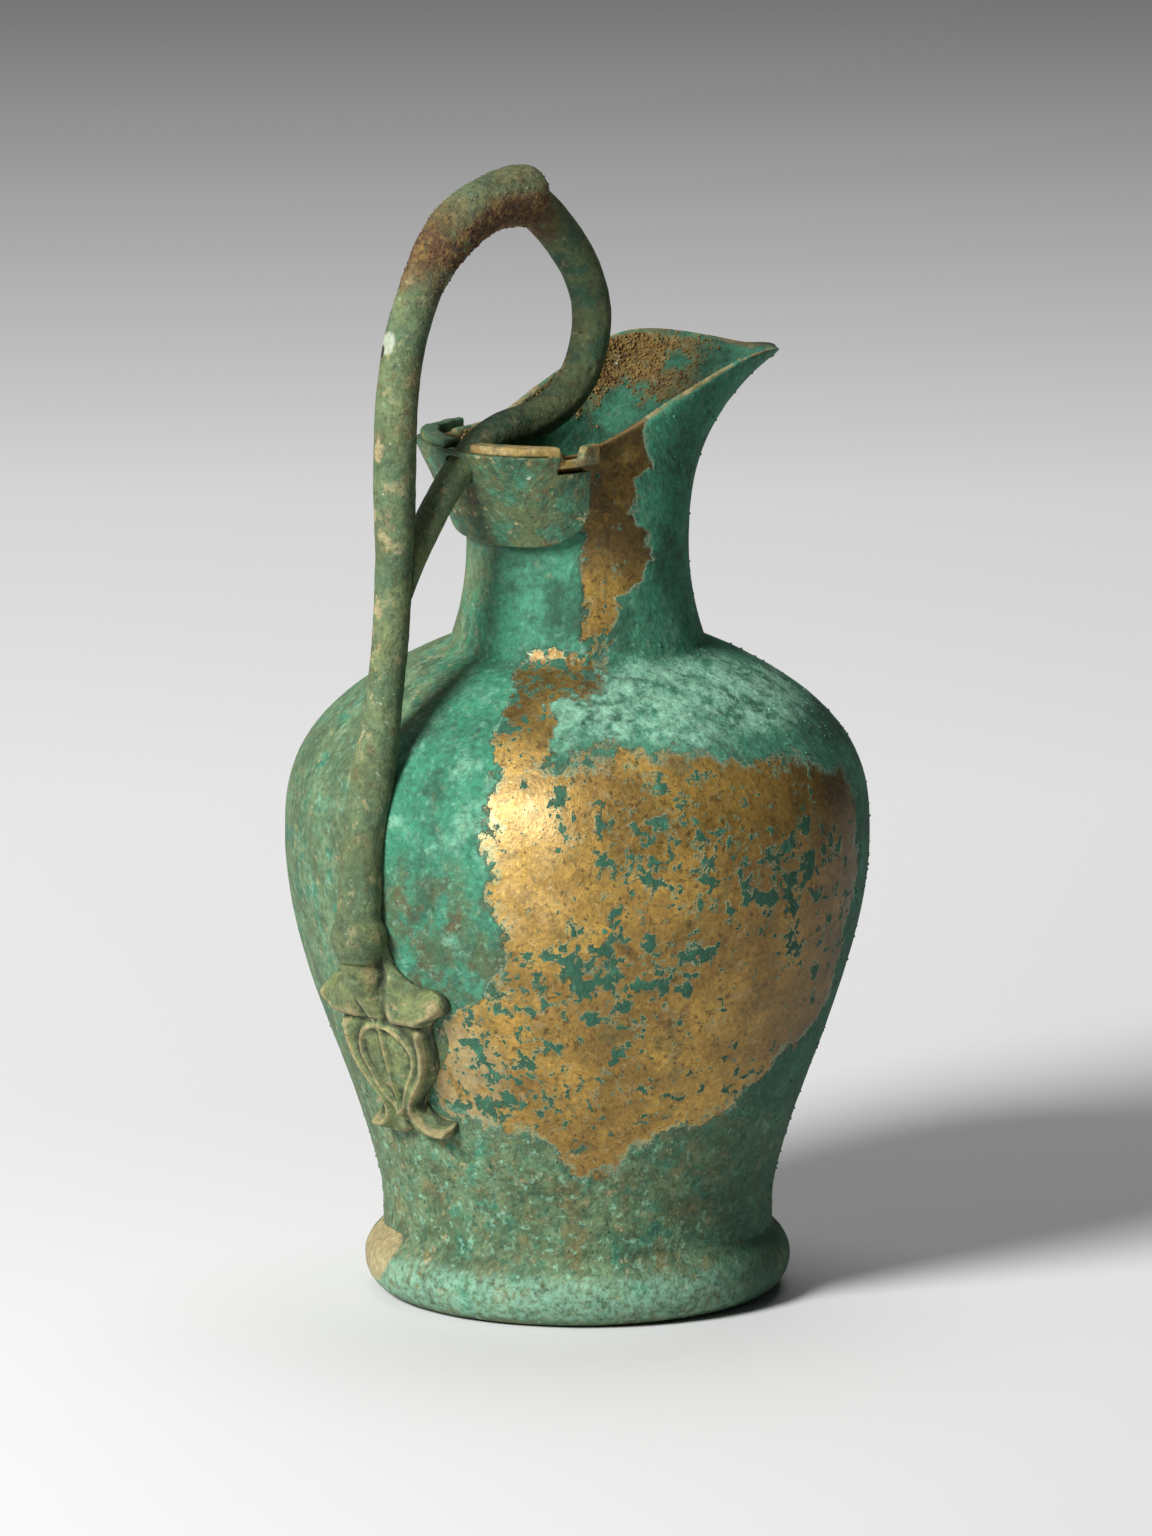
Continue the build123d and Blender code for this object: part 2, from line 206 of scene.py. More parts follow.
# Where crust sits in crowded islands on the bare metal, and where there is little of it
crowded_patches = [
    (24, 120, 22, 16),
    (12, 94, 22, 9),
    (-8, 64, 22, 12),
    (56, 110, 16, 26),
    (-10, 156, 24, 9),
]
clean_patch = (-10, 122, 14, 26)
# Where the wall's crust is pale, bright green or murky
pale_patches = [(40, 151, 62, 9), (130, 150, 40, 10)]
bright_patches = [
    (-30, 125, 17, 34, 3),
    (-52, 164, 20, 12, 3),
    (62, 178, 26, 24, 3),
    (84, 206, 40, 20, 3),
    (120, 176, 40, 30, 3),
]
murky_patch = (-31, 95, 17, 22)
# Where the bare metal is tan, where a pale gold highlight is painted on it, where it is dull, and the tan
# patch on the foot
tan_patch = (-32, 62, 16, 20)
# Painted highlight: pale gold on the bare bronze where the lamp's glint falls
highlight_patch = (-12, 118, 12, 26)
dull_patch = (-9, 156, 26, 12)
foot_patch = (-78, 13, 16, 9)
# The beak's tip lies over these heights
tip_low = 204
tip_high = 210
# A chip on the outside of the stem, with a dark core
chip_place = (-63.0, 1.0, 239.0)
chip_core = (-62.2, 3.0, 236.6)
# Middle of the handle's arch
arch_centre = (-24.0, 0.0, 236.0)

# Lumps strewn over a surface: how many to a square metre, and their smallest and largest radius
mouth_grain_lumps = (1900000.0, 0.14, 0.46)
wall_crust_lumps = (110000.0, 0.12, 0.42)
stem_crust_lumps = (900000.0, 0.10, 0.34)
spot_seed = 4
radius_seed = 7

# Colours of metal, crust and earth; the pale gold is a painted highlight on the bronze
highlight_gold = (0.72, 0.52, 0.24, 1)
golden = (0.47, 0.29, 0.065, 1)
brown = (0.21, 0.125, 0.032, 1)
dark_brown = (0.06, 0.042, 0.018, 1)
emerald = (0.045, 0.205, 0.12, 1)
bright_green = (0.026, 0.20, 0.108, 1)
deep_green = (0.018, 0.085, 0.046, 1)
moss = (0.07, 0.105, 0.045, 1)
pale_green = (0.25, 0.50, 0.35, 1)
sage = (0.135, 0.205, 0.10, 1)
lichen = (0.16, 0.195, 0.068, 1)
olive = (0.09, 0.118, 0.045, 1)
tan = (0.40, 0.31, 0.15, 1)
rust = (0.10, 0.045, 0.014, 1)
earth = (0.25, 0.155, 0.04, 1)
chalk = (0.50, 0.54, 0.43, 1)
soot = (0.018, 0.022, 0.013, 1)
lead = (0.20, 0.20, 0.19, 1)

# Floor: half its side, and how pale the paper is painted at a distance behind the jug, in millimetres, as
# painted fall of light
floor_half = 6000.0
floor_painted_falloff = [
    (-250, 0.64), (-120, 0.68), (200, 0.74), (580, 0.92), (1010, 0.98), (1500, 0.70), (1880, 0.44),
]
floor_roughness = 0.9

# Lights: places from the jug's middle and widths in metres, power in watts
jug_middle_height = 0.13
key_turn = math.radians(42)
key_reach = 1.55
key_rise = 0.95
key_width = 0.6
key_power = 56
overhead_rise = 1.9
overhead_back = 0.9
overhead_aim_back = 0.5
overhead_width = 1.8
overhead_power = 17
room_colour = (1.0, 1.0, 0.98, 1)
room_strength = 0.025

# Camera, fitted to the photo: lengths in metres, but the lens in millimetres
camera_distance = 5.0
camera_rise = math.radians(11.58)
camera_turn = math.radians(225)
aim_height = 0.12718
aim_shift = 0.00036
camera_lens = 488.3


def smooth_line(points, samples, closed=False):
    """Samples of the smooth cubic line through some points, spaced by chord length."""
    knots = np.array(points + points[:1] if closed else points, float)
    steps = np.linalg.norm(np.diff(knots, axis=0), axis=1)
    count = len(knots)
    pull = np.eye(count)
    want = np.zeros(knots.shape)
    inner = range(count - 1) if closed else range(1, count - 1)
    for i in inner:
        before = steps[i - 1]
        after = steps[i]
        last = count - 2 if i == 0 else i - 1
        pull[i, i] = 2 * (before + after)
        pull[i, last] += before
        pull[i, i + 1] += after
        want[i] = 6 * ((knots[i + 1] - knots[i]) / after - (knots[i] - knots[last]) / before)
    if closed:
        pull[-1, 0] = -1
    bend = np.linalg.solve(pull, want)
    place = np.concatenate([[0], np.cumsum(steps)])
    at = np.linspace(0, place[-1], samples)
    k = np.clip(np.searchsorted(place, at, side="right") - 1, 0, count - 2)
    width = steps[k][:, None]
    right = ((at - place[k]) / steps[k])[:, None]
    left = 1 - right
    curve = (left**3 - left) * bend[k] + (right**3 - right) * bend[k + 1]
    return left * knots[k] + right * knots[k + 1] + curve * width**2 / 6


def ease(value, low, high):
    """Smooth step from 0 to 1 between two values."""
    t = np.clip((value - low) / (high - low), 0, 1)
    return t * t * (3 - 2 * t)


def body_radius(z):
    """Outside radius of the vessel between the foot and the top of the neck."""
    low = np.clip((z - waist_height) / flank_rise, 0, 1)
    high = np.clip((z - belly_height) / shoulder_rise, 0, 1)
    top = np.clip((neck_height - z) / neck_rise, 0, 1)
    flank = waist_radius + (belly_radius - waist_radius) * (low * low * (3 - 2 * low))**flank_fullness
    shoulder = belly_radius - (belly_radius - neck_root_radius) * high**shoulder_fullness
    neck = neck_radius + (neck_root_radius - neck_radius) * top**neck_taper
    return np.where(z <= belly_height, flank, np.where(z <= neck_root_height, shoulder, neck))


def mouth_table(angles, heights):
    """Outside radius of the mouth in each direction, one row for each height."""
    table = []
    for z in heights:
        side = []
        for angle, flare, rise, late in mouth_rows:
            radius = neck_radius + flare * ((z - neck_height) / rise)**late
            side.append((radius * math.cos(math.radians(angle)), radius * math.sin(math.radians(angle))))
        ring = side + [(x, -y) for x, y in side[-2:0:-1]]
        line = smooth_line(ring, 4 * columns, closed=True)[:-1]
        turn = np.arctan2(line[:, 1], line[:, 0])
        table.append(np.interp(angles, turn, np.hypot(line[:, 0], line[:, 1]), period=2 * math.pi))
    return np.array(table)


def mouth_shape(angles):
    """The rim's height in each direction, and a function for the mouth's radius at any height there."""
    top = neck_height + max(rise for _, _, rise, _ in mouth_rows) + mouth_margin
    heights = np.linspace(neck_height, top, mouth_levels)
    table = mouth_table(angles, heights)

    def radius(z):
        return np.array([np.interp(z[j], heights, table[:, j]) for j in range(len(angles))])

    rim_points = [(-(neck_radius + mouth_rows[-1][1] + mouth_margin), neck_height + mouth_rows[-1][2])]
    for angle, flare, rise, _ in reversed(mouth_rows):
        rim_points.append(((neck_radius + flare) * math.cos(math.radians(angle)), neck_height + rise))
    rim_points.append((rim_points[-1][0] + mouth_margin, rim_points[-1][1]))
    rim = smooth_line(rim_points, rim_samples)
    height = np.full(len(angles), neck_height + rim_guess)
    for _ in range(rim_rounds):
        x = radius(height) * np.cos(angles)
        height = 0.5 * height + 0.5 * np.interp(x, rim[:, 0], rim[:, 1])
    x = radius(height) * np.cos(angles)
    cut = (x > notch_back) & (x < notch_front)
    return np.where(cut, np.minimum(height, notch_floor), height), radius


def new_object(name, data):
    """Object in the scene for a mesh, a lamp or a lens."""
    thing = bpy.data.objects.new(name, data)
    bpy.context.collection.objects.link(thing)
    return thing


def edit_mesh(mesh, change):
    """Changes a mesh by one of bmesh's operations."""
    shape = bmesh.new()
    shape.from_mesh(mesh)
    change(shape)
    shape.to_mesh(mesh)
    shape.free()


def mesh_piece(name, points, faces, closed=False):
    """Smooth object from points in millimetres and faces. A closed one gets its normals outwards."""
    mesh = bpy.data.meshes.new(name)
    mesh.from_pydata((np.asarray(points) * MM).tolist(), [], faces)
    if closed:
        edit_mesh(mesh, lambda shape: bmesh.ops.recalc_face_normals(shape, faces=shape.faces))
    mesh.polygons.foreach_set("use_smooth", np.ones(len(mesh.polygons), bool))
    return new_object(name, mesh)


def carry(piece, name, values):
    """Gives a mesh a number at each point, for its material to read."""
    layer = piece.data.attributes.new(name, "FLOAT", "POINT")
    layer.data.foreach_set("value", values.astype(np.float32))


def vessel_mesh():
    """Belly, neck and mouth as one closed skin: up the outside, over the lip and down the inside."""
    angles = np.linspace(0, 2 * math.pi, columns, endpoint=False)
    rim, mouth_radius = mouth_shape(angles)
    ones = np.ones(columns)
    off_beak = np.degrees(np.abs((angles + math.pi) % (2 * math.pi) - math.pi))
    keel = (beak_keel - wall) * np.exp(-(off_beak / keel_spread)**2)
    rows = []
    for z in np.linspace(ledge_height, neck_height, wall_rows):
        swell = foot_blend * (1 - ease(z, foot_blend_low, foot_blend_high))
        rows.append(((body_radius(z) + swell) * ones, z * ones))
    for share in np.linspace(0, 1, mouth_rows_outside)[1:]:
        z = neck_height + (rim - lip_radius - neck_height) * share
        rows.append((mouth_radius(z), z))
    thick = rim_thickness + keel
    for turn in np.linspace(0, math.pi, lip_rows + 2)[1:-1]:
        z = rim - lip_radius * (1 - math.sin(turn))
        rows.append((mouth_radius(z) - thick * (1 - math.cos(turn)) / 2, z))
    for share in np.linspace(1, 0, inside_rows)[:-1]:
        z = neck_height + (rim - lip_radius - neck_height) * share
        thin = wall + (rim_thickness - wall) * ease(z, rim - rim_depth, rim - lip_radius)
        rows.append((mouth_radius(z) - thin - keel * share, z))
    for z in np.linspace(neck_height, ledge_height, inside_rows):
        slope = (body_radius(z + 1) - body_radius(z - 1)) / 2
        rows.append(((body_radius(z) - wall * min(math.hypot(1, slope), steepest)) * ones, z * ones))
    points = np.concatenate([np.stack([r * np.cos(angles), r * np.sin(angles), z], 1) for r, z in rows])
    faces = []
    count = len(rows)
    for i in range(count):
        low = i * columns
        high = (i + 1) % count * columns
        for j in range(columns):
            k = (j + 1) % columns
            faces.append((low + j, low + k, high + k, high + j))
    piece = mesh_piece("vessel_skin", points, faces)
    outside = wall_rows + mouth_rows_outside - 1
    inner = np.repeat(np.clip((np.arange(count) - outside + 1) / (lip_rows + 1), 0, 1), columns)
    carry(piece, "inner", inner)
    return piece


def arm_mesh(name, side, depth):
    """Rounded strip along the back rim on one side: high behind, low in the notch, with a lug at its end.

    The depth is the share of the notch that is free of crust.
    """
    angles = np.linspace(math.radians(arm_from), math.radians(arm_to), arm_samples)
    _, radius = mouth_shape(angles)
    reach = radius(np.full(len(angles), arm_low))
    line = np.stack([reach * np.cos(angles), reach * np.sin(angles)], 1)
    line = line[(line[:, 0] < lug_front) & (line[:, 1] > arm_parting)]
    line = line[np.linspace(0, len(line) - 1, arm_sections).astype(int)]
    along = np.gradient(line, axis=0)
    outward = np.stack([along[:, 1], -along[:, 0]], 1) / np.linalg.norm(along, axis=1)[:, None]
    points = []
    for (x, y), normal in zip(line, outward):
        upper = 1 - ease(x, arm_step_back, arm_step_front)
        low = arm_low + arm_step_rise * (1 - ease(x, arm_step_back - arm_step_width, arm_step_back))
        top = arm_low + arm_height + depth * lug_rise * ease(x, lug_back, lug_full)
        top += arm_step_rise * (1 - depth * ease(x, arm_step_front - arm_step_width, arm_step_front))
        inner = arm_inner - arm_overlap * upper
        corners = [(arm_outer, low), (arm_outer, top), (inner, top), (inner, low)]
        for corner, (offset, z) in enumerate(corners):
            middle_offset = offset - arm_corner * (1 if corner < 2 else -1)
            middle_z = z - arm_corner * (1 if corner in (1, 2) else -1)
            for turn in np.radians(np.linspace(-90, 0, arm_corner_steps) + 90 * corner):
                away = middle_offset + arm_corner * math.cos(turn)
                height = middle_z + arm_corner * math.sin(turn)
                points.append((x + normal[0] * away, side * (y + normal[1] * away), height))
    width = 4 * arm_corner_steps
    faces = [tuple(range(width)), tuple(range(len(points) - width, len(points)))]
    for i in range(arm_sections - 1):
        for j in range(width):
            k = (j + 1) % width
            faces.append((i * width + j, i * width + k, (i + 1) * width + k, (i + 1) * width + j))
    return mesh_piece(name, points, faces, closed=True)


def distance(across, drop, line):
    """Distance of each place on the plaque from a line on it."""
    samples = smooth_line(line, leaf_line_samples)
    return np.sqrt(((across[..., None] - samples[:, 0])**2 + (drop[..., None] - samples[:, 1])**2).min(-1))


def raised(across, drop, line, half, rise):
    """Rounded ridge along a line on the plaque."""
    return rise * np.exp(-(distance(across, drop, line) / half)**2)


def leaf_height(across, drop):
    """Relief of the plaque over the wall: rolled margin, horn, petals, ribs and the stub of the stem."""
    edge = np.minimum(distance(across, drop, leaf_side), distance(across, drop, leaf_foot))
    height = leaf_base * np.sqrt(1 - (1 - np.clip(edge / leaf_edge_round, 0, 1))**2)
    height += raised(across, drop, leaf_margin, margin_half, margin_rise) * ease(edge, 0.2, 1.6)
    for line, half, rise in leaf_ridges:
        height += raised(across, drop, line, half, rise)
    height -= raised(across, drop, leaf_cleft, cleft_half, cleft_depth)
    upper = horn_top + horn_slope * across
    lower = horn_bottom - horn_tip_lift * ease(across, horn_tip_start, horn_tip)
    share = np.clip((drop - upper) / (lower - upper), 0, 1)
    lobe = share**0.8 * (1 - share**9) * ease(across, 1.6, 6.5) * ease(edge, 0.0, 2.6)
    height += horn_rise * lobe
    along = np.clip(drop / stub_length, 0, 1)
    radius = stub_radius - stub_taper * along - stub_waist * (1 - ease(drop, -1.5, 3))
    stub = stub_rise * (1 - along) + np.sqrt(np.clip(radius**2 - across**2, 0, None))
    stub *= ease(drop, stub_length, stub_length - stub_fade)
    return np.where(across < radius, np.maximum(height, stub), height)


def leaf_mesh():
    """Plaque wrapped on the wall: one half, blended between its edges, mirrored and closed behind."""
    side = smooth_line(leaf_side, leaf_rows)
    foot = smooth_line(leaf_foot[::-1], leaf_columns + 1)
    down = np.linspace(0, 1, leaf_rows)[:, None, None]
    out = np.linspace(0, 1, leaf_columns + 1)[None, :, None]
    middle = np.array([0, leaf_side[0][1]]) * (1 - down) + np.array([0, leaf_foot[-1][1]]) * down
    sag = foot - (foot[0] + (foot[-1] - foot[0]) * out[0])
    half = (1 - out) * middle + out * side[:, None, :] + down**3 * sag
    across = half[..., 0]
    height = leaf_height(across, half[..., 1])
    places = np.concatenate([-across[:, :0:-1], across], 1)
    drops = np.concatenate([half[:, :0:-1, 1], half[..., 1]], 1)
    heights = np.concatenate([height[:, :0:-1], height], 1)
    front = on_wall(places, leaf_top - drops, heights)
    back = on_wall(places, leaf_top - drops, np.full(places.shape, leaf_back))
    rows, width = places.shape
    points = np.concatenate([front.reshape(-1, 3), back.reshape(-1, 3)])
    behind = rows * width
    faces = []
    for i in range(rows - 1):
        for j in range(width - 1):
            k = i * width + j
            faces.append((k, k + width, k + width + 1, k + 1))
            faces.append((behind + k, behind + k + 1, behind + k + width + 1, behind + k + width))
    top = list(range(width))
    right = [i * width + width - 1 for i in range(rows)]
    foot_line = [(rows - 1) * width + j for j in range(width - 1, -1, -1)]
    left = [i * width for i in range(rows - 1, -1, -1)]
    border = top[:-1] + right[:-1] + foot_line[:-1] + left
    for a, b in zip(border, border[1:]):
        faces.append((a, b, behind + b, behind + a))
    piece = mesh_piece("leaf_skin", points, faces)
    # How far each place stands above its neighbours, for the painted highlight and shade of the plaque
    ridge_shading = heights - blurred(heights, leaf_ridge_reach)
    carry(piece, "ridge_shading", np.concatenate([ridge_shading.ravel(), np.zeros(ridge_shading.size)]))
    return piece


def blurred(values, reach):
    """Mean over a square of neighbours, for telling ridges from hollows."""
    padded = np.pad(values, reach, mode="edge")
    total = np.zeros(values.shape)
    for i in range(2 * reach + 1):
        for j in range(2 * reach + 1):
            total += padded[i:i + values.shape[0], j:j + values.shape[1]]
    return total / (2 * reach + 1)**2


def on_wall(right, z, height):
    """Points over the wall behind the jug, from the distance to the right of the handle's plane."""
    wall_radius = body_radius(z)
    slope = (body_radius(z + 1) - body_radius(z - 1)) / 2
    steep = np.hypot(1, slope)
    grown = (wall_radius + height / steep) / wall_radius
    depth = np.sqrt(wall_radius**2 - right**2)
    return np.stack([-depth * grown, -right * grown, z - height * slope / steep], -1)


def worn_copy(name, node, voxel, softening):
    """Copy of a CAD solid with even faces the size of a voxel, and edges worn round by softening."""
    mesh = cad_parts[node].data.copy()
    reach = merge_reach * MM
    edit_mesh(mesh, lambda shape: bmesh.ops.remove_doubles(shape, verts=shape.verts, dist=reach))
    piece = new_object(name, mesh)
    remesh = piece.modifiers.new("remesh", "REMESH")
    remesh.mode = "VOXEL"
    remesh.voxel_size = voxel * MM
    remesh.use_smooth_shade = True
    soften = piece.modifiers.new("soften", "SMOOTH")
    soften.factor = 0.5
    soften.iterations = softening
    apply_modifiers(piece)
    return piece


def apply_modifiers(piece):
    """Leaves a piece as the plain mesh that its modifiers make."""
    seen = piece.evaluated_get(bpy.context.evaluated_depsgraph_get())
    mesh = bpy.data.meshes.new_from_object(seen)
    piece.modifiers.clear()
    piece.data = mesh


def fill(tree, socket, value):
    """Links a field to a socket, or sets a plain value on it."""
    if isinstance(value, Field):
        tree.links.new(value.socket, socket)
    else:
        socket.default_value = value


class Field:
    """A value in a node tree that takes part in ordinary arithmetic."""

    def __init__(self, tree, socket):
        self.tree = tree
        self.socket = socket

    def add(self, kind, inputs, output=0, **settings):
        """Adds any node, sets or links its inputs, and gives one of its outputs."""
        node = self.tree.nodes.new(kind)
        for name, value in settings.items():
            setattr(node, name, value)
        for key, value in inputs.items():
            fill(self.tree, node.inputs[key], value)
        return Field(self.tree, node.outputs[output])

    def math(self, operation, *others):
        inputs = dict(enumerate((self, *others)))
        return self.add("ShaderNodeMath", inputs, operation=operation)

    def __add__(self, other):
        return self.math("ADD", other)

    __radd__ = __add__

    def __sub__(self, other):
        return self.math("SUBTRACT", other)

    def __rsub__(self, other):
        return self.add("ShaderNodeMath", {0: other, 1: self}, operation="SUBTRACT")

    def __mul__(self, other):
        return self.math("MULTIPLY", other)

    __rmul__ = __mul__

    def __truediv__(self, other):
        return self.math("DIVIDE", other)

    def __pow__(self, other):
        return self.math("POWER", other)

    def most(self, other):
        return self.math("MAXIMUM", other)

    def least(self, other):
        return self.math("MINIMUM", other)

    def step(self, low, high):
        """Smooth step from 0 to 1 between two values."""
        return self.add("ShaderNodeMapRange", {0: self, 1: low, 2: high}, interpolation_type="SMOOTHSTEP")

    def shifted(self, other):
        return self.add("ShaderNodeVectorMath", {0: self, 1: other}, operation="ADD")

    def scaled(self, size):
        return self.add("ShaderNodeVectorMath", {0: self, 3: size}, operation="SCALE")

    def axis(self, name):
        return self.add("ShaderNodeSeparateXYZ", {0: self}, output=name)

    def noise(self, size, detail=4.0, roughness=0.55, output=0):
        """Noise with features of about this size in millimetres."""
        inputs = {"Vector": self, "Scale": 1 / size, "Detail": detail, "Roughness": roughness}
        return self.add("ShaderNodeTexNoise", inputs, output=output)

    def wander(self, size, reach):
        """The place moved about by noise."""
        push = self.noise(size, detail=3.0, output=1).shifted((-0.5, -0.5, -0.5)).scaled(2 * reach)
        return self.shifted(push)

    def mix(self, colour, other):
        """Blend from one colour to another by this share."""
        return self.add("ShaderNodeMix", {0: self, 6: colour, 7: other}, output=2, data_type="RGBA")

    def graded(self, stops):
        """Straight steps through pairs of this field's value and the level wanted there."""
        level = stops[0][1]
        for (low, start), (high, end) in zip(stops, stops[1:]):
            climb = {0: self, 1: low, 2: high, 3: 0.0, 4: end - start}
            level = level + self.add("ShaderNodeMapRange", climb)
        return level

    def own(self, name):
        """A number that the mesh carries at each point."""
        if self.tree.bl_idname == "GeometryNodeTree":
            return self.add("GeometryNodeInputNamedAttribute", {"Name": name}, data_type="FLOAT")
        return self.add("ShaderNodeAttribute", {}, output=2, attribute_name=name)

    def far(self, point):
        """Distance of the place from a point."""
        return self.add("ShaderNodeVectorMath", {0: self, 1: point}, output=1, operation="DISTANCE")


def around(place):
    """Angle from the camera's side, in degrees to its right, and the height of a place."""
    x, y, z = (place.axis(name) for name in "XYZ")
    lateral = (x - y) * math.sqrt(0.5)
    toward = (x + y) * -math.sqrt(0.5)
    return lateral.math("ARCTAN2", toward) * math.degrees(1), z


def patch(angle, height, middle, level, half_angle, half_height, squareness=2.0):
    """Field that is above 0 inside a rounded patch of the wall."""
    across = ((angle - middle) / half_angle).math("ABSOLUTE") ** squareness
    along = ((height - level) / half_height).math("ABSOLUTE") ** squareness
    return 1 - across - along


def union(fields):
    """Field that is above 0 where any of several is."""
    whole = fields[0]
    for field in fields[1:]:
        whole = whole.most(field)
    return whole


def patches(angle, height, rows):
    """Field that is above 0 inside any of several patches."""
    return union([patch(angle, height, *row) for row in rows])


def vessel_masks(place):
    """Shares of the wall from 0 to 1: bare metal, pale rims of islands, islands, pale and bright crust."""
    angle, height = around(place.wander(24, 5).wander(7, 2.4).wander(2.6, 1.0))
    grit = place.noise(5.0, detail=8.0, roughness=0.74) - 0.5
    front = ((angle - height.graded(bare_left)) * 1.1).least((bare_right - angle) * 1.1)
    front = front.least(height - angle.graded(bare_bottom)).least(angle.graded(bare_top) - height)
    neck = (angle - height.graded(neck_bare_left)).least(height.graded(neck_bare_right) - angle)
    neck = (neck / 14).least((height - neck_bare_low) / 12)
    far_angle, far_height = around(place.wander(42, 26).wander(13, 8))
    far = patches(far_angle, far_height, far_bare_patches)
    ragged = union([front / 12, neck, far, patches(angle, height, bare_patches)]) + grit * 1.5
    whole = ragged.step(-0.05, 0.06)
    crowd = patches(angle, height, crowded_patches).step(-0.6, 0.6) * 0.045
    crowd = crowd + (place.noise(34, detail=2.0) - 0.5) * 0.3 - height.step(166, 178) * 0.06
    crowd = crowd - patch(angle, height, *clean_patch).step(-0.2, 0.5) * 0.06
    islands = place.wander(5, 2).noise(6.5, detail=8.0, roughness=0.62) + crowd
    flecks = place.noise(2.6, detail=5.0, roughness=0.6) + crowd * 0.8
    eaten = islands.step(0.605, 0.622).most(flecks.step(0.615, 0.635))
    rims = islands.step(0.580, 0.606).most(flecks.step(0.590, 0.616)) * (1 - eaten)
    halo = (rims * whole).most(ragged.step(-0.05, 0.0) * ragged.step(0.22, 0.04))
    pale = (patches(angle, height, pale_patches) + grit * 1.4).step(-0.2, 0.7)
    bright = (patches(angle, height, bright_patches) + grit * 1.2).step(-0.3, 0.6)
    return whole * (1 - eaten), halo, whole * eaten, pale, bright


def soil_share(place):
    """Share of earth left on the crust inside the mouth."""
    x = place.axis("X")
    cloud = place.noise(9, detail=5.0) - 0.5
    high = (place.axis("Z") + cloud * 34 - x * 0.12).step(207, 213)
    return place.own("inner").step(0.75, 0.95) * high * (x + cloud * 50).step(56, 40)


def handle_cloud(place):
    """Soft blotches on the handle, from about -0.5 to 0.5."""
    return place.wander(8, 2).noise(11, detail=5.0) - 0.5


def rust_share(place):
    """Share of rusty crust over the arch of the handle, less of it on the crest."""
    x = place.axis("X")
    cloud = handle_cloud(place)
    top = (place.axis("Z") + cloud * 44 + x * 0.2).step(230, 250) * (x + cloud * 16).step(-9, -17)
    crest = (place.far(arch_centre) + cloud * 6).step(34.6, 37.4) * (x + cloud * 12).step(-52, -38)
    return top * (1 - crest * 0.8)


def lump_share(place):
    """Share of small lumps of crust on the wall: near the foot and on the side away from the light."""
    angle, height = around(place)
    outside = 1 - place.own("inner").step(0.02, 0.1)
    crust = 1 - vessel_masks(place)[0]
    near = height.step(80, 40).most(angle.step(30, 62) * angle.step(150, 110) * 0.8)
    return outside * crust * near * place.noise(10).step(0.44, 0.60)


def beak_tip(place, start, end):
    """Share that rises towards the tip of the beak."""
    return place.axis("X").step(start, end) * place.axis("Z").step(tip_low, tip_high)


def vessel_relief(place):
    """Unevenness of the raised wall, in millimetres: dents, and crust standing proud of the bare metal."""
    bare = vessel_masks(place)[0]
    dents = (place.noise(55, detail=1.0) - 0.5) * 1.1
    lumps = (place.noise(8, detail=4.0) - 0.5) * 0.35
    return dents + lumps * (1 - bare * 0.7) + (1 - bare) * 0.16 + beak_tip(place, 61, 66) * 0.9


def plain_relief(place):
    """Corroded unevenness of a cast piece, in millimetres."""
    return (place.noise(14, detail=2.0) - 0.5) * 0.5 + (place.noise(3.5, detail=4.0) - 0.5) * 0.3


def foot_relief(place):
    """The same for the foot, which still stands flat."""
    return plain_relief(place) * place.axis("Z").step(0.4, 3.0)


def stem_relief(place):
    """The stem's unevenness, rougher over its top, and the flare of its pointed lip."""
    z = place.axis("Z")
    rough = (place.noise(3.0, detail=4.0) - 0.5) * 0.7 * z.step(236, 256)
    flare = place.axis("X").step(-40, -17.4) ** 2.0 * z.step(264, 273) * 1.6
    return plain_relief(place) + rough + flare


def remade(piece, task, material, change, sizes):
    """Leaves a piece as the mesh that a node tree makes of it, from the shape, the place and named sizes."""
    tree = bpy.data.node_groups.new(piece.name + "_" + task, "GeometryNodeTree")
    tree.interface.new_socket("Geometry", in_out="OUTPUT", socket_type="NodeSocketGeometry")
    tree.interface.new_socket("Geometry", in_out="INPUT", socket_type="NodeSocketGeometry")
    inputs = {}
    for name in sizes:
        inputs[name] = tree.interface.new_socket(name, in_out="INPUT", socket_type="NodeSocketFloat")
    start = tree.nodes.new("NodeGroupInput")
    end = tree.nodes.new("NodeGroupOutput")
    shape = Field(tree, start.outputs["Geometry"])
    place = shape.add("GeometryNodeInputPosition", {}).scaled(1 / MM)
    shape = change(shape, place, *[Field(tree, start.outputs[name]) for name in sizes])
    shape = shape.add("GeometryNodeRealizeInstances", {"Geometry": shape})
    shape = shape.add("GeometryNodeSetMaterial", {"Geometry": shape, "Material": material})
    fill(tree, end.inputs["Geometry"], shape)
    step = piece.modifiers.new(task, "NODES")
    step.node_group = tree
    for name, size in sizes.items():
        step[inputs[name].identifier] = size
    apply_modifiers(piece)


def scattered(name, ground, material, share, lumps):
    """Small lumps strewn over a mesh where a field of the place is high, as a piece of their own."""

    def strew(shape, place, crowding, smallest, largest):
        where = {"Mesh": shape, "Density": share(place) * crowding, "Seed": spot_seed}
        spots = shape.add("GeometryNodeDistributePointsOnFaces", where)
        lump = shape.add("GeometryNodeMeshIcoSphere", {"Radius": MM, "Subdivisions": 1})
        lump = shape.add("GeometryNodeSetShadeSmooth", {"Geometry": lump})
        spread = {2: smallest, 3: largest, "Seed": radius_seed}
        radius = shape.add("FunctionNodeRandomValue", spread, output=1)
        lumps_there = {"Points": spots, "Instance": lump, "Scale": radius}
        return shape.add("GeometryNodeInstanceOnPoints", lumps_there)

    piece = new_object(name, ground.data.copy())
    remade(piece, "scatter", material, strew, dict(zip(("Crowding", "Smallest", "Largest"), lumps)))
    return piece


